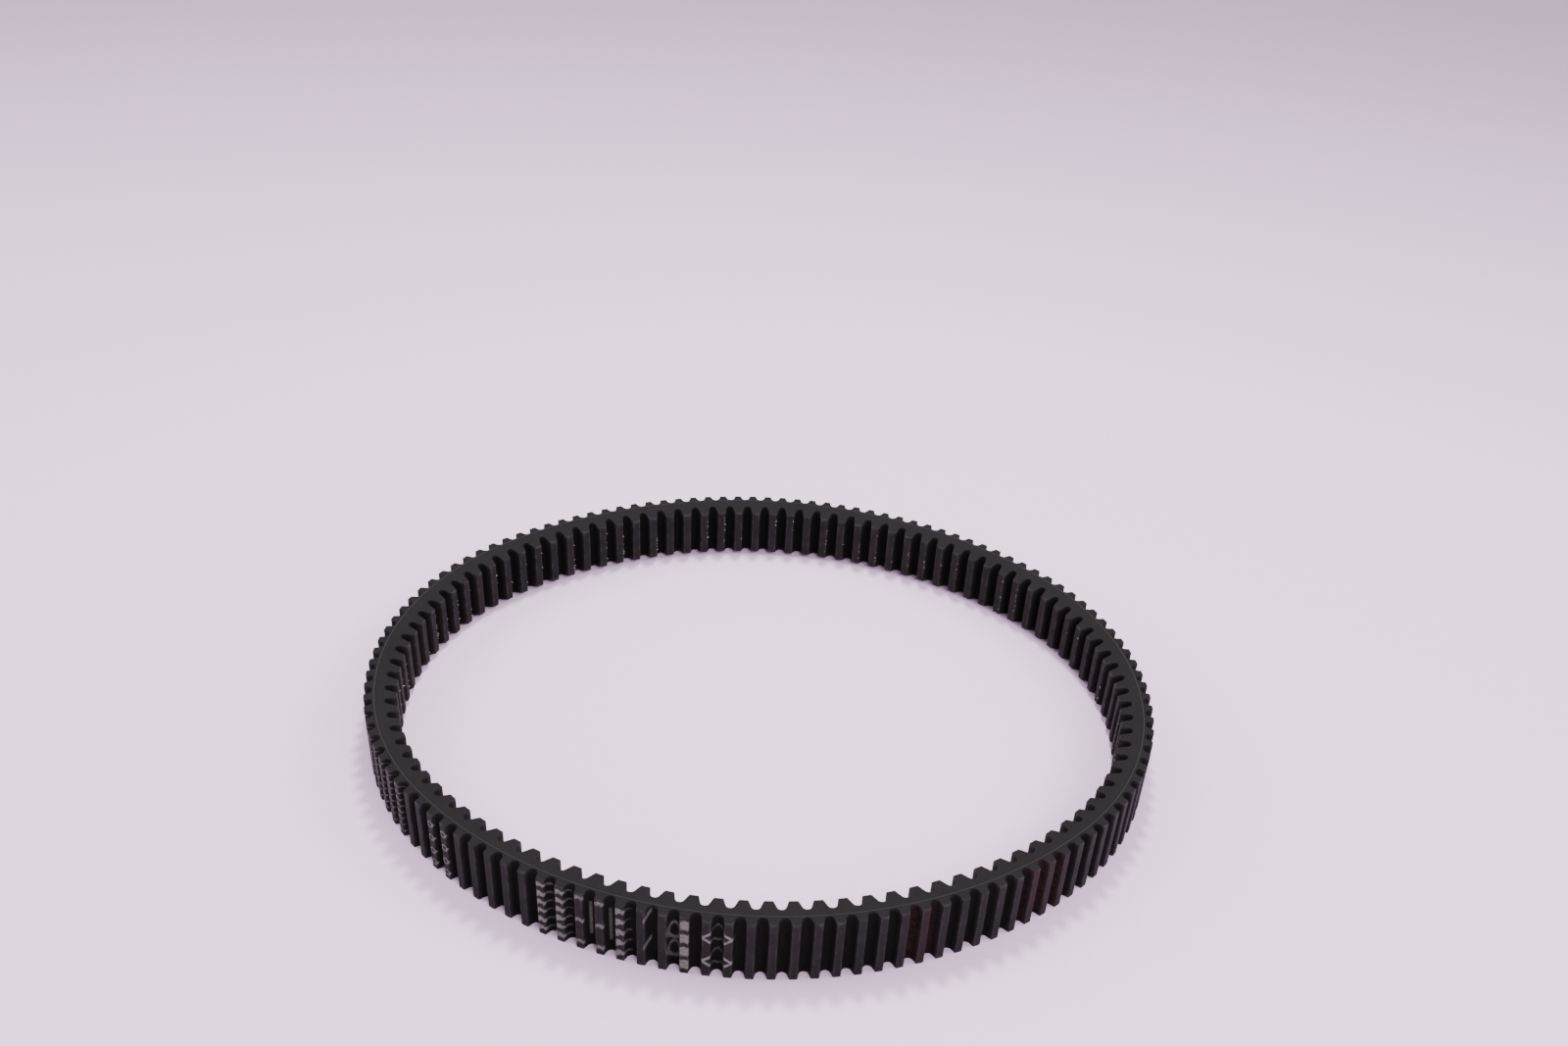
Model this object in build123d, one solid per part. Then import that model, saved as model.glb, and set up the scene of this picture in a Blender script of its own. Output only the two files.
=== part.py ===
"""Endless double-cog variable-speed V drive belt, lying on one side in a relaxed oval loop.

Millimetres, +Z up. The origin is under the middle of the loop, on the surface that the
belt lies on, and X runs along the loop's longer width. An offset is a distance from the
cord line, positive towards the outside of the loop. The belt's layers are bonded to each
other over their whole length, so each one meets its neighbours face to face.
"""
from build123d import *
import math
import os

# ---- Driving dimensions: the loop ----------------------------------------------------
CORD_LENGTH = 1120.0          # developed length of the cord line
END_RADIUS = 142.5            # cord line radius of the two tighter arcs, across X
JOIN_ANGLE = 45.0             # where an end arc turns into a side arc, from X, degrees

# ---- Driving dimensions: the section -------------------------------------------------
TOP_WIDTH = 33.0              # belt width at the cord line and outside it
FLANK_ANGLE = 14.5            # each V flank to the belt's mid-plane, degrees
OUTER_TIP = 4.9               # cord line to the tips of the outer cogs
OUTER_FLOOR = 0.9             # cord line to the floors of the outer grooves
INNER_FLOOR = 4.8             # cord line to the floors of the inner grooves
INNER_TIP = 10.9              # cord line to the tips of the inner cogs
FABRIC = 0.25                 # facing fabric over both cogged faces
GUM = 0.5                     # adhesion gum on each side of the cord line
CORD_DIAMETER = 0.9
CORD_SIDES = 8                # the twisted cord's section, simplified to a polygon
CORD_TURNS = 21
CORD_EDGE = 0.39              # belt side to the centre of the first turn, cut flush there

# ---- Driving dimensions: the cogs ----------------------------------------------------
OUTER_COGS = 124
OUTER_ROOT_RADIUS = 2.3       # round floor of an outer groove
OUTER_COG_ANGLE = 17.0        # each side of an outer cog to its centre line, degrees
OUTER_LEAD = 5.2              # +X end of the loop to the middle of an outer cog
INNER_COGS = 102
INNER_ROOT_RADIUS = 1.9
INNER_COG_ANGLE = 16.5
INNER_LEAD = 6.7              # +X end of the loop to the middle of an inner cog

# ---- Derived dimensions --------------------------------------------------------------
SIDE_RADIUS = CORD_LENGTH / math.pi - END_RADIUS
CENTRE_SHIFT = (SIDE_RADIUS - END_RADIUS) * math.sin(math.radians(JOIN_ANGLE))
FLANK_DRAFT = math.tan(math.radians(FLANK_ANGLE))
CORD_PITCH = (TOP_WIDTH - 2 * CORD_EDGE) / (CORD_TURNS - 1)
END_SWEEP = 2 * JOIN_ANGLE
SIDE_SWEEP = 180 - END_SWEEP

# Each tangent arc of the loop: centre x, centre y, cord line radius, first angle, sweep.
ARCS = (
    (CENTRE_SHIFT, 0, END_RADIUS, -JOIN_ANGLE, END_SWEEP),
    (0, -CENTRE_SHIFT, SIDE_RADIUS, JOIN_ANGLE, SIDE_SWEEP),
    (-CENTRE_SHIFT, 0, END_RADIUS, 180 - JOIN_ANGLE, END_SWEEP),
    (0, CENTRE_SHIFT, SIDE_RADIUS, 180 + JOIN_ANGLE, SIDE_SWEEP),
)


def loop_frame(distance):
    """Cord line point at a distance from the +X end, with its outward normal and tangent."""
    along = (distance + END_RADIUS * math.radians(JOIN_ANGLE)) % CORD_LENGTH
    for x, y, radius, first, sweep in ARCS:
        length = radius * math.radians(sweep)
        if along <= length:
            break
        along -= length
    angle = math.radians(first) + along / radius
    normal = Vector(math.cos(angle), math.sin(angle))
    tangent = Vector(-math.sin(angle), math.cos(angle))
    return Vector(x, y) + normal * radius, normal, tangent


def loop_face(offset):
    """The area inside the loop at one offset from the cord line."""
    edges = [
        CenterArc((x, y), radius + offset, first, sweep)
        for x, y, radius, first, sweep in ARCS
    ]
    return make_face(edges)


def cogged_face(cogs, lead, tip, floor, root_radius, cog_angle):
    """The area inside a cogged loop. Every groove has straight sides and a round floor.

    tip and floor are offsets, and lead is the distance from the +X end to a cog's middle.
    """
    side = 1 if tip > floor else -1
    slope = math.radians(cog_angle)
    round_half = root_radius * math.cos(slope)
    round_top = floor + side * root_radius * (1 - math.sin(slope))
    mouth_half = round_half + abs(tip - round_top) * math.tan(slope)
    pitch = CORD_LENGTH / cogs
    mouths = []
    edges = []
    for cog in range(cogs):
        middle, normal, tangent = loop_frame(lead + (cog + 0.5) * pitch)
        mouth_in = middle + normal * tip - tangent * mouth_half
        round_in = middle + normal * round_top - tangent * round_half
        bottom = middle + normal * floor
        round_out = middle + normal * round_top + tangent * round_half
        mouth_out = middle + normal * tip + tangent * mouth_half
        edges += [
            Line(mouth_in, round_in),
            ThreePointArc(round_in, bottom, round_out),
            Line(round_out, mouth_out),
        ]
        mouths.append((mouth_in, mouth_out))
    for here, after in zip(mouths, mouths[1:] + mouths[:1]):
        edges.append(Line(here[1], after[0]))
    return make_face(edges)


def side_gap(offset):
    """How far the belt's side stands in from its widest, at an offset."""
    return max(0.0, -offset) * FLANK_DRAFT


def band(low, high):
    """Section of the whole belt between two offsets, drawn as offset against height."""
    corners = (
        (low, side_gap(low)),
        (high, side_gap(high)),
        (high, TOP_WIDTH - side_gap(high)),
        (low, TOP_WIDTH - side_gap(low)),
    )
    return make_face(Polyline(*corners, close=True))


def cord_section(turn):
    """Section of one turn of the cord, which the belt's sides cut flush."""
    height = CORD_EDGE + turn * CORD_PITCH
    return Pos(0, height) * RegularPolygon(CORD_DIAMETER / 2, CORD_SIDES)


def along_loop(section):
    """A section taken round the whole loop."""
    pieces = []
    for x, y, radius, first, sweep in ARCS:
        placed = Pos(x, y, 0) * Rot(0, 0, first) * (Plane.XZ * Pos(radius, 0) * section)
        pieces.append(revolve(placed, Axis((x, y, 0), (0, 0, 1)), sweep))
    return pieces[0].fuse(*pieces[1:])


def prism(face):
    """A flat area raised to the belt's full width."""
    return extrude(face, TOP_WIDTH)


def tensile_cord():
    """Aramid cord wound side by side from one side of the belt to the other."""
    whole_belt = band(-GUM, 0) + band(0, GUM)
    turns = [along_loop(cord_section(turn) & whole_belt) for turn in range(CORD_TURNS)]
    return Compound(children=turns)


def adhesion_gum(low, high):
    """Soft rubber that holds the cord, on one side of the cord line."""
    section = band(low, high)
    for turn in range(CORD_TURNS):
        section -= cord_section(turn)
    return along_loop(section)


def outer_cogs(inset):
    """Area inside the outer cogged face, or inside its rubber when inset by the fabric."""
    return cogged_face(
        OUTER_COGS, OUTER_LEAD, OUTER_TIP - inset, OUTER_FLOOR - inset,
        OUTER_ROOT_RADIUS + inset, OUTER_COG_ANGLE,
    )


def inner_cogs(inset):
    """Area inside the inner cogged face, or inside its rubber when inset by the fabric."""
    return cogged_face(
        INNER_COGS, INNER_LEAD, inset - INNER_TIP, inset - INNER_FLOOR,
        INNER_ROOT_RADIUS + inset, INNER_COG_ANGLE,
    )


def overcord_rubber():
    """Fibre-filled rubber of the outer cogs, with flat parallel sides."""
    return prism(outer_cogs(FABRIC) - loop_face(GUM))


def overcord_facing_fabric():
    """Woven facing moulded over the outer cogs and their grooves."""
    return prism(outer_cogs(0) - outer_cogs(FABRIC))


def v_flanked(face):
    """A layer inside the cord line, cut to the belt's V flanks."""
    return prism(face) & along_loop(band(-INNER_TIP - GUM, -GUM / 2))


def undercord_rubber():
    """Fibre-filled rubber of the inner cogs, which carries the V flanks."""
    return v_flanked(loop_face(-GUM) - inner_cogs(FABRIC))


def undercord_facing_fabric():
    """Woven facing moulded over the inner cogs and their grooves."""
    return v_flanked(inner_cogs(FABRIC) - inner_cogs(0))


NODES = {
    "overcord_facing_fabric": overcord_facing_fabric,
    "overcord_rubber": overcord_rubber,
    "upper_adhesion_gum": lambda: adhesion_gum(0, GUM),
    "tensile_cord": tensile_cord,
    "lower_adhesion_gum": lambda: adhesion_gum(-GUM, 0),
    "undercord_rubber": undercord_rubber,
    "undercord_facing_fabric": undercord_facing_fabric,
}

os.makedirs("parts", exist_ok=True)
for name, build in NODES.items():
    shape = build()
    export_step(shape, f"parts/{name}.step")
    print(name, round(shape.volume, 1), "mm3")
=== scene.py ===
"""Double-cog variable-speed V drive belt, lying on one side in a relaxed oval loop."""
import bpy
import math
import numpy as np
from mathutils import Matrix, Vector


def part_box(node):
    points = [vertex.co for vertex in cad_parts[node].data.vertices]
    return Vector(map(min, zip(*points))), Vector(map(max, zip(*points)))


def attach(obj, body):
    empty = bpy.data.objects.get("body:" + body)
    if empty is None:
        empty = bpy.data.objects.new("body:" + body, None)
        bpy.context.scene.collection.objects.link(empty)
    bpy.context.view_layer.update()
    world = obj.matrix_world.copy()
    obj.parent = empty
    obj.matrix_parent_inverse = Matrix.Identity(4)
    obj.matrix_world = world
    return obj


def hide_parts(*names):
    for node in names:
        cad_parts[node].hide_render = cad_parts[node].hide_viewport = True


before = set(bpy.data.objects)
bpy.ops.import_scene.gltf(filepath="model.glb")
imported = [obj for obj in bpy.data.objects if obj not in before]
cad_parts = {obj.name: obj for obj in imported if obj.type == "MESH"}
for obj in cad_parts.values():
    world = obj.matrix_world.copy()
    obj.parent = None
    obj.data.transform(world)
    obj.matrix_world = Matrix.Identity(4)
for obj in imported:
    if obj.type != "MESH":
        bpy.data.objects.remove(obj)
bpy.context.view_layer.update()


# ---- Camera --------------------------------------------------------------------------
# A hand-held camera with a moderate wide lens, looking down at the loop from the front,
# and leaning a little to one side.
CAMERA_PLACE = Vector((0.0142, -0.5466, 0.4645))
CAMERA_PITCH = math.radians(32.17)
CAMERA_TURN = math.radians(0.70)
CAMERA_LEAN = math.radians(3.11)
SENSOR_WIDTH = 36.0
LENS = 31.1

turn = Matrix.Rotation(CAMERA_TURN, 3, "Z")
ahead = turn @ Vector((0, math.cos(CAMERA_PITCH), -math.sin(CAMERA_PITCH)))
lean = Matrix.Rotation(-CAMERA_LEAN, 3, ahead)
right = lean @ turn @ Vector((1, 0, 0))
above = right.cross(ahead)

camera = bpy.data.objects.new("camera", bpy.data.cameras.new("camera"))
camera.data.sensor_width = SENSOR_WIDTH
camera.data.lens = LENS
facing = Matrix((right, above, -ahead)).transposed().to_4x4()
camera.matrix_world = Matrix.Translation(CAMERA_PLACE) @ facing
bpy.context.scene.collection.objects.link(camera)
bpy.context.scene.camera = camera


# ---- Tensile cord --------------------------------------------------------------------
# Twisted aramid cord, wound side by side across the belt. Its middle is the cord line,
# four tangent arcs in an oval. The belt's sides cut the first and last turns flush, so
# each shows there as a thin line of pale beads.
lowest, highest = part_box("overcord_facing_fabric")
BELT_WIDTH = highest.z - lowest.z
LOOP_LENGTH = 1.120
END_RADIUS = 0.1425
SIDE_RADIUS = LOOP_LENGTH / math.pi - END_RADIUS
CENTRE_SHIFT = (SIDE_RADIUS - END_RADIUS) * math.sin(math.pi / 4)
FLANK_DRAFT = math.tan(math.radians(14.5))
CORD_RADIUS = 0.00045
CORD_TURNS = 21
CORD_EDGE = 0.00039
CORD_PITCH = (BELT_WIDTH - 2 * CORD_EDGE) / (CORD_TURNS - 1)
TWISTS = 430
STRANDS = 3
STRAND_SWELL = 0.06
SHOWN_MESH = {"stations": 3010, "points": 12, "swell": STRAND_SWELL}
HIDDEN_MESH = {"stations": 180, "points": 8, "swell": 0.0}
CORD_PALE = (0.037, 0.031, 0.029, 1)
CORD_DARK = (0.009, 0.007, 0.008, 1)
CORD_RELIEF = 0.00005
DARKENING_START_Y = 0.02
DARKENING_END_Y = -0.15


def loop_point(distance, offset):
    """Points at distances along the cord line from its +X end, moved out by offsets."""
    end_arc = END_RADIUS * math.pi / 2
    side_arc = SIDE_RADIUS * math.pi / 2
    starts = np.array((0, end_arc, end_arc + side_arc, 2 * end_arc + side_arc))
    centres = np.array(((1, 0), (0, -1), (-1, 0), (0, 1))) * CENTRE_SHIFT
    radii = np.array((END_RADIUS, SIDE_RADIUS, END_RADIUS, SIDE_RADIUS))
    along = (np.asarray(distance, float) + end_arc / 2) % LOOP_LENGTH
    arc = np.searchsorted(starts, along, side="right") - 1
    angle = (arc - 0.5) * math.pi / 2 + (along - starts[arc]) / radii[arc]
    reach = radii[arc] + offset
    return np.stack((centres[arc, 0] + reach * np.cos(angle),
                     centres[arc, 1] + reach * np.sin(angle)), -1)


def loop_offset(point):
    """How far points stand out from the cord line."""
    x, y = abs(point[..., 0]), abs(point[..., 1])
    to_end = np.hypot(x - CENTRE_SHIFT, y) - END_RADIUS
    to_side = np.hypot(x, y + CENTRE_SHIFT) - SIDE_RADIUS
    return np.where(y < x - CENTRE_SHIFT, to_end, to_side)


def side_gap(offset):
    """How far the belt's side stands in from its widest at an offset."""
    return np.maximum(0.0, -np.asarray(offset)) * FLANK_DRAFT


def closed_grid(name, points, along, worn_and_highlit=0.0):
    """Mesh of a grid of points that closes on itself both ways, round the loop and round
    its section. It keeps where each corner lies on the belt, and how much each point is
    paled by rubbing and by painted edge highlight."""
    rows, columns = points.shape[:2]
    row, column = np.meshgrid(np.arange(rows), np.arange(columns), indexing="ij")
    steps = ((0, 0), (1, 0), (1, 1), (0, 1))
    corners = [(row + down) % rows * columns + (column + over) % columns
               for down, over in steps]
    faces = np.stack(corners, -1).reshape(-1, 4)
    flat = points.reshape(-1, 3)
    first, second, third, fourth = (flat[faces[:, corner]] for corner in range(4))
    volume = (np.cross(third - first, fourth - second) * (first + third)).sum()
    laps = np.append(along, along[0] + LOOP_LENGTH)
    lap = np.stack([laps[row + down] for down, _ in steps], -1).reshape(-1, 4)
    if volume < 0:
        faces = faces[:, ::-1]
        lap = lap[:, ::-1]
    mesh = bpy.data.meshes.new(name)
    mesh.from_pydata(flat.tolist(), [], faces.tolist())
    mesh.polygons.foreach_set("use_smooth", np.ones(len(faces), bool))
    place = mesh.attributes.new("place", "FLOAT_VECTOR", "CORNER")
    corner_points = flat[faces.reshape(-1)]
    where = np.stack((lap.reshape(-1), corner_points[:, 2],
                      loop_offset(corner_points)), -1)
    place.data.foreach_set("vector", where.astype(np.float32).reshape(-1))
    wear_and_highlight = mesh.attributes.new("wear_and_highlight", "FLOAT", "POINT")
    amount = np.broadcast_to(worn_and_highlit, (rows, columns)).astype(np.float32)
    wear_and_highlight.data.foreach_set("value", amount.reshape(-1))
    piece = bpy.data.objects.new(name, mesh)
    bpy.context.scene.collection.objects.link(piece)
    return piece


class Field:
    """A value, colour or vector over a surface, that can be used in sums."""

    def __init__(self, tree, socket=None):
        self.tree = tree
        self.socket = socket

    def node(self, kind, settings, values, output=0):
        """Any node: its type, its settings, and the values or links of its sockets."""
        made = self.tree.nodes.new(kind)
        for setting, value in settings.items():
            setattr(made, setting, value)
        sockets = {socket.identifier: socket for socket in made.inputs}
        for key, value in values.items():
            socket = made.inputs[key] if isinstance(key, int) else (
                sockets.get(key) or made.inputs[key])
            if isinstance(value, Field):
                self.tree.links.new(value.socket, socket)
            else:
                socket.default_value = value
        outputs = {socket.identifier: socket for socket in made.outputs}
        found = outputs.get(output) if isinstance(output, str) else None
        return Field(self.tree, found or made.outputs[output])

    def maths(self, operation, *others, first=None):
        """A sum with this value first, or with another value before it."""
        values = (self,) + others if first is None else (first, self)
        return self.node("ShaderNodeMath", {"operation": operation}, dict(enumerate(values)))

    def __add__(self, other):
        return self.maths("ADD", other)

    def __sub__(self, other):
        return self.maths("SUBTRACT", other)

    def __rsub__(self, other):
        return self.maths("SUBTRACT", first=other)

    def __mul__(self, other):
        return self.maths("MULTIPLY", other)

    def __truediv__(self, other):
        return self.maths("DIVIDE", other)

    def __rtruediv__(self, other):
        return self.maths("DIVIDE", first=other)

    def __mod__(self, other):
        return self.maths("FLOORED_MODULO", other)

    def __rmod__(self, other):
        return self.maths("FLOORED_MODULO", first=other)

    def __or__(self, other):
        return self.maths("MAXIMUM", other)

    def __abs__(self):
        return self.maths("ABSOLUTE")

    __radd__ = __add__
    __rmul__ = __mul__
    __ror__ = __or__

    def step(self, start, end):
        """0 below start and 1 above end, or the reverse where end is below start."""
        return self.node("ShaderNodeMapRange", {"interpolation_type": "SMOOTHSTEP"},
                         {"Value": self, "From Min": start, "From Max": end})

    def blend(self, colour, other):
        """From one colour to another, where this value goes from 0 to 1."""
        return self.node("ShaderNodeMix", {"data_type": "RGBA", "clamp_factor": True},
                         {"Factor_Float": self, "A_Color": colour, "B_Color": other},
                         "Result_Color")

    def noise(self, scale, detail=3.0, roughness=0.5):
        """Cloudy noise over this vector, with scale in features to the metre."""
        return self.node("ShaderNodeTexNoise", {},
                         {"Vector": self, "Scale": scale, "Detail": detail,
                          "Roughness": roughness}, "Fac")

    def stretched(self, x, y, z):
        """This vector scaled along each axis."""
        return self.node("ShaderNodeVectorMath", {"operation": "MULTIPLY"},
                         {0: self, 1: (x, y, z)})

    def parts(self):
        """The three values of this vector."""
        split = self.node("ShaderNodeSeparateXYZ", {}, {0: self})
        return [Field(self.tree, socket) for socket in split.socket.node.outputs]

    def held(self, name, output):
        """What the mesh holds under a name: a vector, or a value as Fac."""
        return self.node("ShaderNodeAttribute", {"attribute_name": name}, {}, output)

    def position(self):
        """Where the surface lies, in metres."""
        return self.node("ShaderNodeTexCoord", {}, {}, "Object")


def new_finish(name):
    """An empty surface material, its shader, and a blank field to start its nodes from."""
    material = bpy.data.materials.new(name)
    material.use_nodes = True
    tree = material.node_tree
    return material, tree.nodes["Principled BSDF"], Field(tree)


def feed(shader, socket, field):
    """Links a field to one of the shader's sockets."""
    field.tree.links.new(field.socket, shader.inputs[socket])


def feed_bump(shader, height, distance):
    """Gives the shader a fine relief, with its height in metres for a value of 1."""
    relief = height.node("ShaderNodeBump", {},
                         {"Height": height, "Distance": distance, "Strength": 1.0})
    feed(shader, "Normal", relief)


def cord_finish():
    """Treated aramid: grey-brown, with the twist's pale and dark beads. It is darker, and so
    shows less, towards the loop's front, by where it lies in the scene."""
    material, shader, blank = new_finish("treated_aramid")
    place = blank.held("place", "Vector")
    along = place.parts()[0]
    y = blank.position().parts()[1]
    bead_length = LOOP_LENGTH / TWISTS / STRANDS
    bead = abs(along / bead_length % 1.0 - 0.5) * 2
    speckle = place.noise(2400.0, 2.0)
    # Darker towards the loop's front (-Y), by where the cord lies in the scene.
    front_darkening = y.step(DARKENING_START_Y, DARKENING_END_Y) * 0.5
    amount = bead.step(0.15, 0.8) * (0.25 + speckle * 0.9) * (1 - front_darkening)
    feed(shader, "Base Color", amount.blend(CORD_DARK, CORD_PALE))
    feed(shader, "Roughness", 0.75 + speckle * 0.2)
    feed_bump(shader, bead + speckle * 0.5, CORD_RELIEF)
    return material


def cord_turn(number, stations, points, swell):
    """Points of one turn of the cord, kept inside the belt's sides. swell is how much its
    strands bulge, as a share of its radius."""
    along = np.arange(stations) * LOOP_LENGTH / stations
    round_it = np.arange(points) * 2 * math.pi / points
    twist = along[:, None] * 2 * math.pi * TWISTS / LOOP_LENGTH
    plump = 1 - STRAND_SWELL + swell * np.cos(STRANDS * (round_it - twist))
    offset = CORD_RADIUS * plump * np.cos(round_it)
    height = CORD_EDGE + number * CORD_PITCH + CORD_RADIUS * plump * np.sin(round_it)
    gap = side_gap(offset)
    height = np.clip(height, gap, BELT_WIDTH - gap)
    flat = loop_point(along[:, None], offset)
    return np.concatenate((flat, height[..., None]), -1), along


def tensile_cord():
    """All turns of the cord, of which the two at the belt's sides show."""
    finish = cord_finish()
    turns = []
    for number in range(CORD_TURNS):
        shows = number in (0, CORD_TURNS - 1)
        points, along = cord_turn(number, **(SHOWN_MESH if shows else HIDDEN_MESH))
        turns.append(closed_grid(f"cord_turn_{number + 1}", points, along))
        turns[-1].data.materials.append(finish)
    with bpy.context.temp_override(active_object=turns[0], selected_editable_objects=turns):
        bpy.ops.object.join()
    turns[0].name = "tensile_cord_turns"
    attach(turns[0], "root")
    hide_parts("tensile_cord")


tensile_cord()


# ---- Adhesion gum --------------------------------------------------------------------
# Two thin layers of soft rubber that the cord is bedded in, one on each side of the cord
# line. Only their edges show, on the belt's sides, as a slightly darker band.
GUM = 0.0005
GUM_STATIONS = 420
NOTCH_POINTS = 7
GUM_BLACK = (0.0060, 0.0052, 0.0058)
GUM_ROUGHNESS = 0.8
FIBRE_END_GREY = (0.040, 0.036, 0.038, 1)
# Pale edges: partly real rubbing and partly a painted highlight along the edges.
WORN_AND_HIGHLIT_EDGE_GREY = (0.044, 0.039, 0.043, 1)
# Painted shade for the hollows of the grooves.
PAINTED_GROOVE_SHADE = (0.0022, 0.0018, 0.0019, 1)
DEEP_TONE = 0.55
PALE_TONE = 1.7
MATT_SPECULAR = 0.12
RUBBER_RELIEF = 0.00007
YARN_PITCH = 0.0009


def rubber_finish(name, colour, roughness, cogs=None, paint=None):
    """Black rubber with the ends of chopped fibres, a patchy dry bloom and pale edges, from
    rubbing and from painted highlight. A cogged face shows a fine weave, its cogs differ a
    little, and its grooves are matt and darkened towards their floors by painted shade.
    paint may add to the colour and roughness by place."""
    material, shader, blank = new_finish(name)
    shader.inputs["Specular IOR Level"].default_value = MATT_SPECULAR
    place = blank.held("place", "Vector")
    wear_and_highlight = blank.held("wear_and_highlight", "Fac")
    texture = blank.position()
    along, height, lift = place.parts()
    cloud = texture.noise(24.0, 4.0, 0.6)
    patch = texture.noise(230.0, 4.0, 0.6)
    grain = texture.noise(2600.0, 3.0, 0.7)
    fibre = place.stretched(1.0, 0.25, 1.0).noise(2900.0, 2.0, 0.6)
    tone = cloud * 0.5 + patch * 0.55 + grain * 0.3 - 0.05
    relief = fibre * 0.8 + grain * 0.6 + patch * 0.8
    if cogs:
        cog = (along - cogs["lead"]) / (LOOP_LENGTH / cogs["cogs"]) + 0.5
        number = cog.maths("FLOOR")
        own = number.node("ShaderNodeTexWhiteNoise", {"noise_dimensions": "1D"},
                          {"W": number}, "Value")
        yarns = 2 * math.pi / YARN_PITCH
        weave = (along * yarns).maths("SINE") * (height * yarns).maths("SINE")
        tone = tone + own * 0.3 - 0.15 + weave * 0.12
        relief = relief + weave * 0.5
    deep = tuple(channel * DEEP_TONE for channel in colour) + (1,)
    pale = tuple(channel * PALE_TONE for channel in colour) + (1,)
    fibre_end = fibre.step(0.60, 0.72) * 0.55
    # Pale edges, partly from rubbing and partly a painted edge highlight.
    edge = wear_and_highlight * (0.2 + patch.step(0.40, 0.62) * 0.6)
    shade = tone.blend(deep, pale)
    shade = fibre_end.blend(shade, FIBRE_END_GREY)
    shade = edge.blend(shade, WORN_AND_HIGHLIT_EDGE_GREY)
    rough = roughness + patch * 0.2 - 0.1 - edge * 0.08
    if cogs:
        # Painted shade: the grooves darken towards their floors, where shade falls, and get
        # rougher.
        groove_shade = ((lift - cogs["tip"]) / (cogs["floor"] - cogs["tip"])).step(0.05, 0.7)
        shade = (groove_shade * 0.72).blend(shade, PAINTED_GROOVE_SHADE)
        rough = rough + groove_shade * 0.2
    if paint:
        shade, rough = paint(place, texture, shade, rough)
    feed(shader, "Base Color", shade)
    feed(shader, "Roughness", rough)
    feed_bump(shader, relief, RUBBER_RELIEF)
    return material


def gum_section(side):
    """Offsets and heights round a gum layer's section, notched for each turn of the cord.
    The outermost notches stop where the belt's sides cut the cord flush."""
    flush = math.asin(CORD_EDGE / CORD_RADIUS)
    offset = []
    height = []
    for number in range(CORD_TURNS):
        first = -flush if number == 0 else -math.pi / 2
        last = flush if number == CORD_TURNS - 1 else math.pi / 2
        angles = np.linspace(first, last, NOTCH_POINTS)
        offset.extend(side * CORD_RADIUS * np.cos(angles))
        height.extend(CORD_EDGE + number * CORD_PITCH + CORD_RADIUS * np.sin(angles))
    offset = np.array(offset + [side * GUM, side * GUM])
    height = np.array(height + [BELT_WIDTH, 0])
    gap = side_gap(offset)
    return offset, np.clip(height, gap, BELT_WIDTH - gap)


for layer, side in (("upper_adhesion_gum", 1), ("lower_adhesion_gum", -1)):
    along = np.arange(GUM_STATIONS) * LOOP_LENGTH / GUM_STATIONS
    offset, height = gum_section(side)
    flat = loop_point(along[:, None], offset[None])
    height = np.broadcast_to(height[None, :, None], flat.shape[:2] + (1,))
    gum = closed_grid(layer + "_layer", np.concatenate((flat, height), -1), along)
    gum.data.materials.append(rubber_finish(layer, GUM_BLACK, GUM_ROUGHNESS))
    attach(gum, "root")
    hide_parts(layer)


# ---- Undercord -----------------------------------------------------------------------
# The inner cogs: short-fibre rubber with cut V flanks, and a thin woven facing moulded
# over the cogged face. Straight groove sides run into round floors.
INNER = {"cogs": 102, "lead": 0.0067, "tip": -0.0109, "floor": -0.0048, "root": 0.0019,
         "slope": math.radians(16.5), "corner": 0.0005, "seed": 11}
FACING = 0.00025
EDGE_ROUND = 0.00022
EDGE_POINTS = 4
# How pale edges, corners and tips are made: partly real rubbing, partly a painted highlight.
EDGE_WEAR_AND_HIGHLIGHT = 0.8
SKIN_SHARES = (0.06, 0.2, 0.35)
SIDE_WEAR_AND_HIGHLIGHT = ((0.0, 1.0), (0.04, 0.0), (0.3, 0.0), (0.65, 0.0), (1.0, 0.0))
SHARP_ANGLE = math.radians(40)
CORNER_WEAR_AND_HIGHLIGHT = (0.3, 0.8, 1.0, 0.8, 0.3)
WALL_SHARES = (0.33, 0.67)
BOWL_POINTS = 6
TIP_SHARES = (0.25, 0.5, 0.75)
TIP_WEAR_AND_HIGHLIGHT = 0.12
EXTRA_DEPTH = 0.00008
PLACE_ERROR = 0.00003
RUBBER_BLACK = (0.0076, 0.0061, 0.0071)
RUBBER_ROUGHNESS = 0.74
INNER_FACING_BLACK = (0.0061, 0.0050, 0.0042)
INNER_FACING_ROUGHNESS = 0.74


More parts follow.
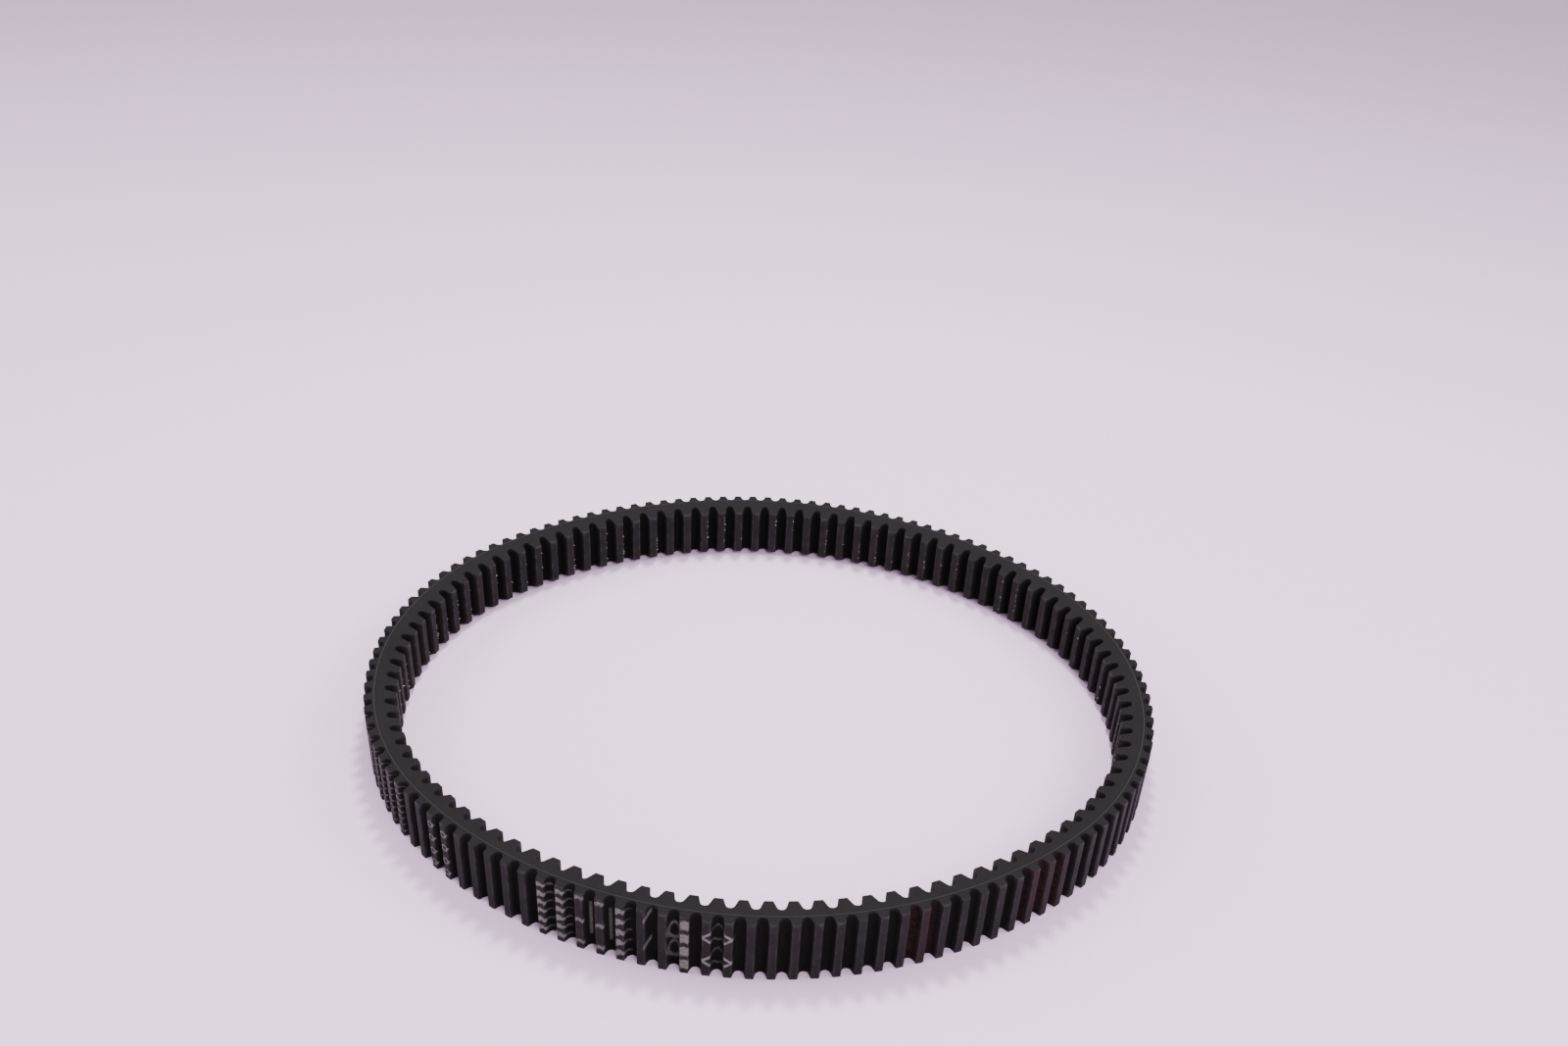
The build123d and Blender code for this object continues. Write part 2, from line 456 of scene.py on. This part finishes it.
def cog_path(cogs, lead, tip, floor, root, slope, corner, seed):
    """Points round a cogged face, with their outward normals, places along the loop and
    how pale each is made by rubbing and painted edge highlight. Each groove is drawn in its
    own frame: t runs along the belt, and h from the floor towards the cog tips."""
    chance = np.random.default_rng(seed)
    side = 1 if tip > floor else -1
    depth = abs(tip - floor)
    round_half = root * math.cos(slope)
    round_top = root * (1 - math.sin(slope))
    mouth = round_half + (depth - round_top) * math.tan(slope)
    turn_left = math.pi / 2 - slope
    cut = corner * math.tan(turn_left / 2)
    sweep = np.linspace(0, turn_left, len(CORNER_WEAR_AND_HIGHLIGHT))
    corner_t = mouth + cut - corner * np.sin(sweep)
    corner_h = depth - corner * (1 - np.cos(sweep))
    bowl = np.linspace(slope, math.pi / 2, BOWL_POINTS)
    bowl_t = root * np.cos(bowl)
    bowl_h = root * (1 - np.sin(bowl))
    wall = np.array(WALL_SHARES)
    wall_t = corner_t[-1] + (bowl_t[0] - corner_t[-1]) * wall
    wall_h = corner_h[-1] + (bowl_h[0] - corner_h[-1]) * wall
    wall_nt = np.full(len(wall), -math.cos(slope))
    wall_nh = np.full(len(wall), math.sin(slope))
    half_groove = np.stack((
        np.concatenate((corner_t, wall_t, bowl_t)),
        np.concatenate((corner_h, wall_h, bowl_h)),
        np.concatenate((-np.sin(sweep), wall_nt, -np.cos(bowl))),
        np.concatenate((np.cos(sweep), wall_nh, np.sin(bowl))),
        np.concatenate((CORNER_WEAR_AND_HIGHLIGHT, np.zeros(len(wall) + BOWL_POINTS))),
    ))
    mirror = np.array((-1, 1, -1, 1, 1))[:, None]
    other_half = half_groove[:, -2::-1] * mirror
    t, h, nt, nh, worn_and_highlit = np.concatenate((half_groove, other_half), 1)
    grooves = lead + (np.arange(cogs) - 0.5) * LOOP_LENGTH / cogs
    middle = loop_point(grooves, 0.0)
    normal = loop_point(grooves, 1.0) - middle
    tangent = np.stack((-normal[:, 1], normal[:, 0]), -1)
    deeper = chance.uniform(0, EXTRA_DEPTH, (cogs, 1)) * (1 - h / depth)
    across = chance.normal(0, PLACE_ERROR, (cogs, 1)) - t[None]
    lift = floor - side * deeper + side * h[None]
    point = (middle[:, None] + tangent[:, None] * across[..., None]
             + normal[:, None] * lift[..., None])
    out = (normal[:, None] * side * nh[None, :, None]
           - tangent[:, None] * nt[None, :, None])
    scale = 1 + lift / ((END_RADIUS + SIDE_RADIUS) / 2)
    along = grooves[:, None] + across / scale
    return point, np.broadcast_to(out, point.shape), along, np.broadcast_to(worn_and_highlit, along.shape)


def with_tips(point, out, along, worn_and_highlit):
    """Adds the flat of each cog's tip between the grooves, and joins all into one round."""
    after = np.roll(point[:, 0], -1, 0)
    out_after = np.roll(out[:, 0], -1, 0)
    along_after = np.append(along[1:, 0], along[0, 0] + LOOP_LENGTH)
    share = np.array(TIP_SHARES)[None, :, None]
    tip = point[:, -1:] * (1 - share) + after[:, None] * share
    tip_out = out[:, -1:] * (1 - share) + out_after[:, None] * share
    tip_along = along[:, -1:] * (1 - share[..., 0]) + along_after[:, None] * share[..., 0]
    point = np.concatenate((point, tip), 1).reshape(-1, 2)
    out = np.concatenate((out, tip_out), 1).reshape(-1, 2)
    along = np.concatenate((along, tip_along), 1).reshape(-1)
    worn_and_highlit = np.concatenate((worn_and_highlit, np.full(tip_along.shape, TIP_WEAR_AND_HIGHLIGHT)), 1).reshape(-1)
    return point, out / np.linalg.norm(out, axis=1)[:, None], along, worn_and_highlit


def both_sides(lower, middle=()):
    """A section's columns from those of its lower half. Each column is a line along the
    belt, its heights and how pale it is made by rubbing and by painted edge highlight."""
    upper = [(flat, BELT_WIDTH - height, rubbed_and_highlit) for flat, height, rubbed_and_highlit in lower[::-1]]
    columns = [*lower, *middle, *upper]
    grid = np.stack([np.column_stack((flat, height)) for flat, height, _ in columns], 1)
    return grid, np.stack([rubbed_and_highlit for _, _, rubbed_and_highlit in columns], 1)


def facing_piece(name, cogs):
    """The facing over a cogged face: its outer skin with rounded edges, and its back."""
    point, out, along, worn_and_highlit = with_tips(*cog_path(**cogs))
    places = [(FACING, 0.0, EDGE_WEAR_AND_HIGHLIGHT)]
    for bend in np.linspace(0, math.pi / 2, EDGE_POINTS):
        inward = EDGE_ROUND * (1 - math.sin(bend))
        places.append((inward, EDGE_ROUND * (1 - math.cos(bend)), EDGE_WEAR_AND_HIGHLIGHT))
    places += [(0.0, share * BELT_WIDTH, 0.0) for share in SKIN_SHARES]
    lower = []
    for inward, from_side, rubbed_and_highlit in places:
        flat = point - out * inward
        height = side_gap(loop_offset(flat)) + from_side
        lower.append((flat, height, np.maximum(worn_and_highlit, rubbed_and_highlit)))
    middle = (point, np.full(len(point), BELT_WIDTH / 2), worn_and_highlit)
    grid, wear_and_highlight = both_sides(lower, [middle])
    return closed_grid(name, grid, along, wear_and_highlight)


def rubber_piece(name, cogs, base):
    """The rubber under a facing, down to the gum, with the belt's two sides cut crisply."""
    point, out, along, worn_and_highlit = with_tips(*cog_path(**cogs))
    skin = point - out * FACING
    root = loop_point(along, base)
    lower = []
    for share, rubbed_and_highlit in SIDE_WEAR_AND_HIGHLIGHT:
        flat = skin * (1 - share) + root * share
        lower.append((flat, side_gap(loop_offset(flat)), np.full(len(flat), rubbed_and_highlit)))
    grid, wear_and_highlight = both_sides(lower)
    piece = closed_grid(name, grid, along, wear_and_highlight)
    piece.data.set_sharp_from_angle(angle=SHARP_ANGLE)
    return piece


undercord = rubber_piece("undercord_cogs", INNER, -GUM)
undercord.data.materials.append(
    rubber_finish("undercord_rubber", RUBBER_BLACK, RUBBER_ROUGHNESS))
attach(undercord, "root")
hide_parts("undercord_rubber")

undercord_facing = facing_piece("undercord_facing", INNER)
undercord_facing.data.materials.append(
    rubber_finish("undercord_facing", INNER_FACING_BLACK, INNER_FACING_ROUGHNESS, cogs=INNER))
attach(undercord_facing, "root")
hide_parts("undercord_facing_fabric")


# ---- Frayed fibres -------------------------------------------------------------------
# Short pale ends of the chopped fibres, that stand out of the rubbed corners of the inner
# cogs, on one side of each cog.
FIBRE_RADIUS = 0.00015
FIBRE_TAPER = 0.6
FIBRE_LENGTHS = (0.0004, 0.0009)
FIBRE_HEIGHTS = (0.006, 0.027)
FIBRE_ROOT = 0.0001
FIBRE_SPREAD = 0.5
FIBRE_TILT = 0.0003
FRAYED_SHARE = 0.65
FEWEST_FIBRES = 1
MOST_FIBRES = 6
FIBRE_SIDES = 3
FIBRE_SEED = 5
FIBRE_DARK = (0.24, 0.22, 0.19, 1)
FIBRE_PALE = (0.80, 0.77, 0.70, 1)
FIBRE_ROUGHNESS = 0.8


def frayed_fibres():
    """Every fibre end as a thin three-sided spike, in one mesh."""
    chance = np.random.default_rng(FIBRE_SEED)
    point, out = cog_path(**INNER)[:2]
    corner_middle = -(len(CORNER_WEAR_AND_HIGHLIGHT) + 1) // 2
    corner = point[:, corner_middle]
    normal = out[:, corner_middle]
    points = []
    faces = []
    for cog in range(INNER["cogs"]):
        frayed = chance.random() < FRAYED_SHARE
        count = chance.integers(FEWEST_FIBRES, MOST_FIBRES + 1) if frayed else 0
        for height in chance.uniform(*FIBRE_HEIGHTS, count):
            length = chance.uniform(*FIBRE_LENGTHS)
            away = normal[cog] + chance.normal(0, FIBRE_SPREAD, 2)
            away = away / np.linalg.norm(away) * length
            base = np.append(corner[cog] - normal[cog] * FIBRE_ROOT, height)
            tip = base + np.append(away, chance.normal(0, FIBRE_TILT))
            axis = (tip - base) / np.linalg.norm(tip - base)
            across = np.cross(axis, (0, 0, 1))
            up = np.cross(axis, across)
            first = len(points)
            for end, radius in ((base, FIBRE_RADIUS), (tip, FIBRE_RADIUS * FIBRE_TAPER)):
                for corner_number in range(FIBRE_SIDES):
                    angle = corner_number * 2 * math.pi / FIBRE_SIDES
                    ray = across * math.cos(angle) + up * math.sin(angle)
                    points.append(end + radius * ray)
            second = first + FIBRE_SIDES
            faces.append(tuple(range(second - 1, first - 1, -1)))
            faces.append(tuple(range(second, second + FIBRE_SIDES)))
            for side in range(FIBRE_SIDES):
                after = (side + 1) % FIBRE_SIDES
                faces.append((first + side, first + after, second + after, second + side))
    mesh = bpy.data.meshes.new("frayed_fibres")
    mesh.from_pydata(np.array(points).tolist(), [], faces)
    fibres = bpy.data.objects.new("frayed_fibres", mesh)
    bpy.context.scene.collection.objects.link(fibres)
    return fibres


def fibre_finish():
    """Dry pale fibre, of uneven tone."""
    material, shader, blank = new_finish("frayed_fibre")
    tone = blank.position().noise(700.0, 2.0).step(0.35, 0.65)
    feed(shader, "Base Color", tone.blend(FIBRE_DARK, FIBRE_PALE))
    shader.inputs["Roughness"].default_value = FIBRE_ROUGHNESS
    return material


fibres = frayed_fibres()
fibres.data.materials.append(fibre_finish())
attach(fibres, "root")


# ---- Overcord ------------------------------------------------------------------------
# The outer cogs: finer than the inner ones, with flat parallel sides that the belt rests
# on, and the same woven facing. Two stretches carry worn pale print, and a few cogs dust.
OUTER = {"cogs": 124, "lead": 0.0052, "tip": 0.0049, "floor": 0.0009, "root": 0.0023,
         "slope": math.radians(17), "corner": 0.0004, "seed": 12}
OUTER_FACING_BLACK = (0.0059, 0.0051, 0.0053)
OUTER_FACING_ROUGHNESS = 0.7
INK = (0.17, 0.17, 0.155, 1)
INK_COVER = 0.85
DUST = (0.036, 0.0105, 0.0100, 1)
DUST_COVER = 0.55
CRISP = 0.02

overcord = rubber_piece("overcord_cogs", OUTER, GUM)
overcord.data.materials.append(
    rubber_finish("overcord_rubber", RUBBER_BLACK, RUBBER_ROUGHNESS))
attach(overcord, "root")
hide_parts("overcord_rubber")


def inside(value, middle, half, soft):
    """1 where a value is within half of middle, and 0 outside, with a soft change."""
    return abs(value - middle).step(half + soft, half - soft)


def bars(height, lean, count, half, low=0.0020, high=0.0330):
    """Bars across a cog, spread evenly between two heights. lean tilts their ends."""
    row = (height - low + lean) / ((high - low) / count)
    return inside(row % 1.0, 0.5, half, 0.07) * inside(row, count / 2, count / 2, CRISP)


def oval(across, up, thick):
    """The outline of an oval, from distances across and up in shares of its size."""
    return inside((across * across + up * up).maths("SQRT"), 1.0, thick, 0.12)


def diamond(across, up, thick):
    """The outline of a diamond, from distances across and up in shares of its size."""
    return inside(abs(across) + abs(up), 1.0, thick, 0.08)


def printed_marks(cog, share, height, smear):
    """How much ink lies at a place, by cog number, share of a cog's pitch and height. Most
    marks cover the tips, and some run a little way down the cogs' sides."""
    lean = abs(share) * 0.0035 + smear * 0.0016
    tip = abs(share).step(0.235, 0.20)
    taper = 0.24 - share * 0.45 + smear * 0.35
    beside = inside(share, 0.34, 0.13, 0.05)
    marks = []
    for middle, half, rows, thick, spill, cover in (
            (83.5, 1.0, 6, 1.0, 0.4, 1.0),
            (87.1, 0.5, 5, 1.0, 0.35, 1.0),
            (70.0, 3.5, 8, 0.7, 0.3, 0.7)):
        block = inside(cog, middle, half, CRISP) * bars(height, lean, rows, taper * thick)
        marks.append(block * (tip + beside * spill) * cover)
    thin_bars = bars(height, lean, 3, 0.065, -0.0018, 0.0378)
    marks.append(inside(cog, 85.5, 1.0, CRISP) * thin_bars * tip)
    marks.append(inside(cog, 90.0, 0.5, CRISP) * bars(height, lean, 4, 0.33) * tip)
    slanted_bars = bars(height, share * -0.014, 2, 0.07, 0.001)
    marks.append(inside(cog, 88.26, 0.14, 0.04) * slanted_bars * 0.8)
    upright = inside(height, 0.0165, 0.0095, 0.0012)
    for middle, cover in ((85.42, 0.55), (86.42, 0.45)):
        marks.append(inside(cog, middle, 0.07, 0.03) * upright * cover)
    for centre, cover in ((0.0215, 0.5), (0.0105, 0.4)):
        up = (height - centre) / 0.0045
        marks.append(oval((cog - 89.5) / 0.26, up, 0.2) * cover)
    for centre in (0.0232, 0.0092):
        up = (height - centre) / 0.0046
        marks.append(diamond((cog - 91.5) / 0.70, up, 0.15) * (tip + 0.30))
    small_block = inside(cog, 76.5, 1.0, CRISP)
    for centre in (0.0270, 0.0190, 0.0110, 0.0040):
        up = (height - centre) / 0.0015
        marks.append(oval(share / 0.17, up, 0.25) * small_block)
    ink = marks[0]
    for mark in marks[1:]:
        ink = ink | mark
    return ink


def print_and_dust(place, texture, shade, rough):
    """Two worn blocks of pale print on the cogs, and reddish dust on a few of them."""
    along, height = place.parts()[:2]
    cog = (along - OUTER["lead"]) / (LOOP_LENGTH / OUTER["cogs"])
    share = (cog + 0.5) % 1.0 - 0.5
    smear = texture.noise(420.0, 2.0, 0.5) - 0.5
    flaking = texture.noise(1500.0, 3.0, 0.6).step(0.30, 0.52)
    ink = printed_marks(cog, share, height, smear) * flaking * INK_COVER
    dusty_cogs = inside(cog, 100.9, 0.8, 0.35) | inside(cog, 107.9, 1.2, 0.35)
    dust = dusty_cogs * texture.noise(420.0, 5.0, 0.7).step(0.42, 0.60) * DUST_COVER
    shade = dust.blend(shade, DUST)
    shade = ink.blend(shade, INK)
    return shade, rough + ink * 0.1 + dust * 0.15


overcord_facing = facing_piece("overcord_facing", OUTER)
overcord_facing.data.materials.append(
    rubber_finish("overcord_facing", OUTER_FACING_BLACK, OUTER_FACING_ROUGHNESS,
                  cogs=OUTER, paint=print_and_dust))
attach(overcord_facing, "root")
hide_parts("overcord_facing_fabric")


# ---- Floor and light -----------------------------------------------------------------
# A plain pale table top under a small high lamp behind the loop, and three broad soft
# lamps to its left, right and front.
FLOOR_SIZE = 12.0
FLOOR_COLOUR = (0.97, 0.71, 0.985, 1)
FLOOR_ROUGHNESS = 0.55
LAMP_COLOUR = (1.0, 0.98, 1.0)
ROOM_COLOUR = (0.86, 0.82, 0.90, 1)
ROOM_STRENGTH = 0.86

bpy.ops.mesh.primitive_plane_add(size=FLOOR_SIZE)
floor = bpy.context.object
floor.name = "floor"
material, shader = new_finish("table_top")[:2]
shader.inputs["Base Color"].default_value = FLOOR_COLOUR
shader.inputs["Roughness"].default_value = FLOOR_ROUGHNESS
floor.data.materials.append(material)


def soft_light(name, place, size, power):
    """A square soft light that faces the middle of the floor."""
    light = bpy.data.objects.new(name, bpy.data.lights.new(name, "AREA"))
    light.data.size = size
    light.data.energy = power
    light.data.color = LAMP_COLOUR
    light.location = place
    light.rotation_euler = (-Vector(place)).to_track_quat("-Z", "Y").to_euler()
    bpy.context.scene.collection.objects.link(light)


soft_light("key", (0.03, 0.40, 1.25), 0.18, 16)
soft_light("left", (-1.3, 0.1, 1.1), 0.9, 15)
soft_light("right", (1.3, 0.0, 1.1), 0.9, 15)
soft_light("front", (0.6, -1.2, 1.2), 0.9, 19)

world = bpy.data.worlds.new("room")
world.use_nodes = True
world.node_tree.nodes["Background"].inputs["Color"].default_value = ROOM_COLOUR
world.node_tree.nodes["Background"].inputs["Strength"].default_value = ROOM_STRENGTH
bpy.context.scene.world = world
